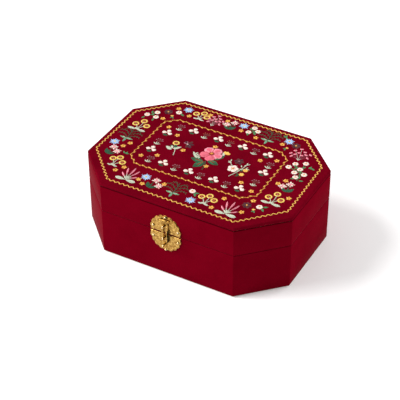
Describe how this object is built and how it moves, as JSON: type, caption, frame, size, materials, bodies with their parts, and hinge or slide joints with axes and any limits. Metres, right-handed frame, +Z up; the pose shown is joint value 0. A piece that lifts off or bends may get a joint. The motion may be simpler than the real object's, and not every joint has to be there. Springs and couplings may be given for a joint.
{
  "type": "ballerina jewellery box",
  "caption": "Octagonal cloth-covered jewellery box with a stitched flower lid, brass hasp, mirror, ring rolls, and a wind-up music movement that turns a sprung dancer.",
  "frame": {"origin": "middle of the underside", "axes": "+X along the long side to the right, +Y towards the hinges, +Z up; the clasp faces -Y"},
  "size_m": [0.24, 0.2002, 0.0895],
  "materials": {
    "crimson_cloth": "fine satin bookcloth, embroidered on the lid",
    "velvet": "short-pile velvet over board or foam",
    "felt": "pressed felt",
    "board": "fibreboard",
    "glass_mirror": "silvered glass",
    "brass": "brushed, lightly aged",
    "steel": "ground",
    "zinc": "bead-blasted zinc casting",
    "doll_plastic": "moulded and painted",
    "tulle": "stiff layered tulle"
  },
  "bodies": {
    "case": {"base_pad": "felt", "base_floor": "board", "base_front_wall": "board", "base_back_wall": "board", "base_end_walls": "board", "base_corner_walls": "board", "base_covering": "crimson_cloth", "base_lining": "velvet", "floor_lining": "velvet", "side_partitions": "velvet", "cross_partitions": "velvet", "housing_front_board": "velvet", "movement_board": "board", "stage_board": "board", "stage_velvet": "velvet", "ring_cushion": "velvet", "ring_rolls": "velvet", "base_hinge_leaves": "brass", "hinge_pins": "brass", "hinge_screws_base": "brass", "clasp_lower_plate": "brass", "clasp_nails_base": "brass", "clasp_lower_eyes": "brass", "bedplate": "zinc", "movement_bridges": "zinc", "movement_screws": "steel", "comb": "steel", "click": "steel"},
    "lid": {"lid_front_wall": "board", "lid_back_wall": "board", "lid_end_walls": "board", "lid_corner_walls": "board", "lid_covering": "crimson_cloth", "lid_top_board": "board", "lid_top_cloth": "crimson_cloth", "lid_lining": "velvet", "lid_ceiling": "velvet", "lid_mirror": "glass_mirror", "mirror_frame": "brass", "lid_stop_tab": "brass", "lid_hinge_leaves": "brass", "hinge_screws_lid": "brass", "clasp_upper_plate": "brass", "clasp_nails_lid": "brass", "clasp_upper_eye": "brass", "hasp_pin": "brass"},
    "hasp_strap": {"hasp": "brass"},
    "winder": {"winding_arbor": "steel", "winding_key": "brass"},
    "barrel": {"spring_barrel": "brass", "mainspring": "steel"},
    "drum": {"music_cylinder": "brass", "turntable": "doll_plastic", "dancer_spring": "steel"},
    "dancer_figure": {"dancer": "doll_plastic", "tutu": "tulle"},
    "governor_wheel": {"governor_arbor": "steel"},
    "fan": {"fan_governor": "steel"},
    "stop": {"stop_lever": "steel"}
  },
  "joints": [
    {"name": "lid_hinge", "type": "hinge", "parent": "case", "child": "lid", "pos_m": [0, 0.091, 0.054], "axis": [-1, 0, 0], "range_deg": [0, 100]},
    {"name": "hasp_swing", "type": "hinge", "parent": "lid", "child": "hasp_strap", "pos_m": [0, -0.0911, 0.0715], "axis": [-1, 0, 0], "range_deg": [0, 110]},
    {"name": "key_winding", "type": "hinge", "parent": "case", "child": "winder", "pos_m": [0, 0.09, 0.0218], "axis": [0, 1, 0], "continuous": true},
    {"name": "drum_spin", "type": "hinge", "parent": "case", "child": "drum", "pos_m": [0, 0.034, 0.025], "axis": [0, 0, 1], "continuous": true},
    {"name": "barrel_spin", "type": "hinge", "parent": "case", "child": "barrel", "pos_m": [0, 0.046, 0.0218], "axis": [0, 1, 0], "continuous": true},
    {"name": "governor_wheel_spin", "type": "hinge", "parent": "case", "child": "governor_wheel", "pos_m": [0.012, 0.034, 0.025], "axis": [0, 0, 1], "continuous": true},
    {"name": "fan_spin", "type": "hinge", "parent": "case", "child": "fan", "pos_m": [0.0186, 0.044, 0.025], "axis": [0, 1, 0], "continuous": true},
    {"name": "dancer_tilt", "type": "hinge", "parent": "drum", "child": "dancer_figure", "pos_m": [0, 0.034, 0.05712], "axis": [-1, 0, 0], "range_deg": [0, 75], "deforming": ["dancer_spring"]},
    {"name": "stop_slide", "type": "slide", "parent": "case", "child": "stop", "axis": [0, 0, 1], "range_m": [0, 0.004]}
  ],
  "couplings": [
    {"joint": "barrel_spin", "follows": "drum_spin", "ratio": 0.66667},
    {"joint": "governor_wheel_spin", "follows": "drum_spin", "ratio": -3},
    {"joint": "fan_spin", "follows": "drum_spin", "ratio": 24},
    {"joint": "dancer_tilt", "follows": "lid_hinge", "ratio": 0.75},
    {"joint": "stop_slide", "follows": "lid_hinge", "m_per_rad": 0.00229}
  ]
}
